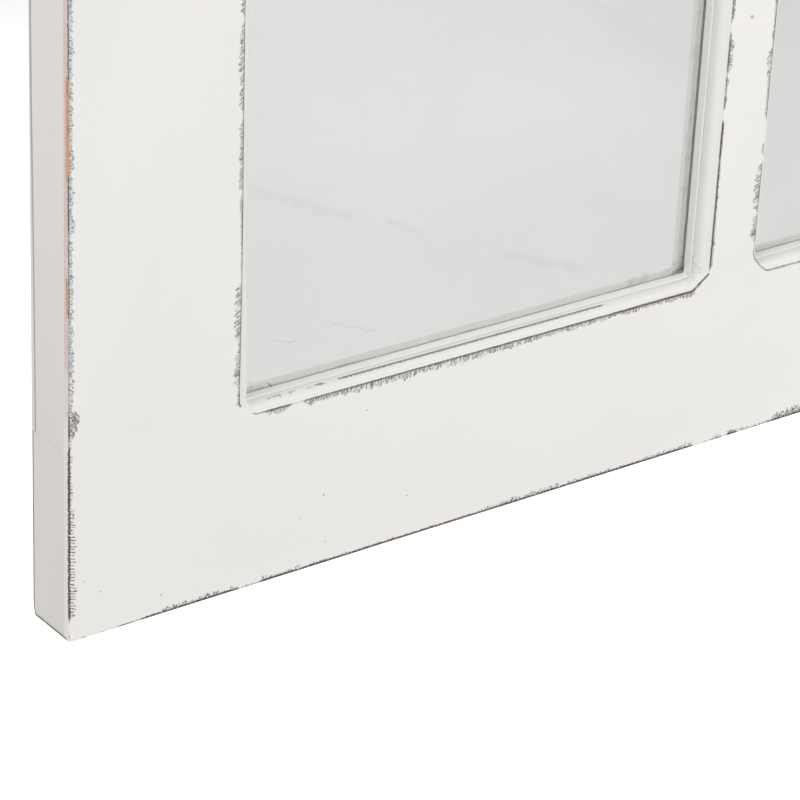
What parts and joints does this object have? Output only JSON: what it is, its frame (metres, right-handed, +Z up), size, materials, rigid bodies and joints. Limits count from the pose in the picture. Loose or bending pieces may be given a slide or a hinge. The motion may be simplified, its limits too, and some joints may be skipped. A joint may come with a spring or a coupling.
{
  "type": "wall mirror",
  "caption": "Window-sash wall mirror: worn white wooden frame with moulded glazing bars, separate mirror panes, a rear panel and swinging hanging eyes.",
  "frame": {"origin": "on the wall plane, at mid width and mid height of the sash; the wall plane is the rear face of the two bumpers", "axes": "+X to the right seen from the front, +Z up, +Y out of the back into the wall; the mirror faces -Y"},
  "size_m": [0.61, 0.031, 0.914],
  "materials": {
    "white_paint_on_wood": "satin off-white paint, rubbed through to a charcoal undercoat and bare wood on the edges",
    "silvered_glass": "3 mm float glass silvered on the back",
    "corrugated_card": "plain brown",
    "hardboard": "brown hardboard",
    "zinc_plated_steel": "bright zinc",
    "beech_dowel": "bare wood",
    "clear_grey_rubber": "matt"
  },
  "bodies": {
    "sash": {"bottom_rail": "white_paint_on_wood", "top_rail": "white_paint_on_wood", "left_stile": "white_paint_on_wood", "right_stile": "white_paint_on_wood", "upright_bar": "white_paint_on_wood", "lower_left_cross_bar": "white_paint_on_wood", "lower_right_cross_bar": "white_paint_on_wood", "upper_left_cross_bar": "white_paint_on_wood", "upper_right_cross_bar": "white_paint_on_wood", "mirror_pane_bottom_left": "silvered_glass", "mirror_pane_bottom_right": "silvered_glass", "mirror_pane_middle_left": "silvered_glass", "mirror_pane_middle_right": "silvered_glass", "mirror_pane_top_left": "silvered_glass", "mirror_pane_top_right": "silvered_glass", "pane_pad_bottom_left": "corrugated_card", "pane_pad_bottom_right": "corrugated_card", "pane_pad_middle_left": "corrugated_card", "pane_pad_middle_right": "corrugated_card", "pane_pad_top_left": "corrugated_card", "pane_pad_top_right": "corrugated_card", "back_panel": "hardboard", "back_panel_screws": "zinc_plated_steel", "left_hanger_strap": "zinc_plated_steel", "right_hanger_strap": "zinc_plated_steel", "hanger_screws": "zinc_plated_steel", "corner_dowels": "beech_dowel", "bar_dowels": "beech_dowel", "left_wall_bumper": "clear_grey_rubber", "right_wall_bumper": "clear_grey_rubber"},
    "left_eye": {"left_hanger_eye": "zinc_plated_steel"},
    "right_eye": {"right_hanger_eye": "zinc_plated_steel"}
  },
  "joints": [
    {"name": "left_eye_swing", "type": "hinge", "parent": "sash", "child": "left_eye", "pos_m": [-0.279, -0.003, 0.3], "axis": [1, 0, 0], "range_deg": [0, 180]},
    {"name": "right_eye_swing", "type": "hinge", "parent": "sash", "child": "right_eye", "pos_m": [0.279, -0.003, 0.3], "axis": [1, 0, 0], "range_deg": [0, 180]}
  ]
}
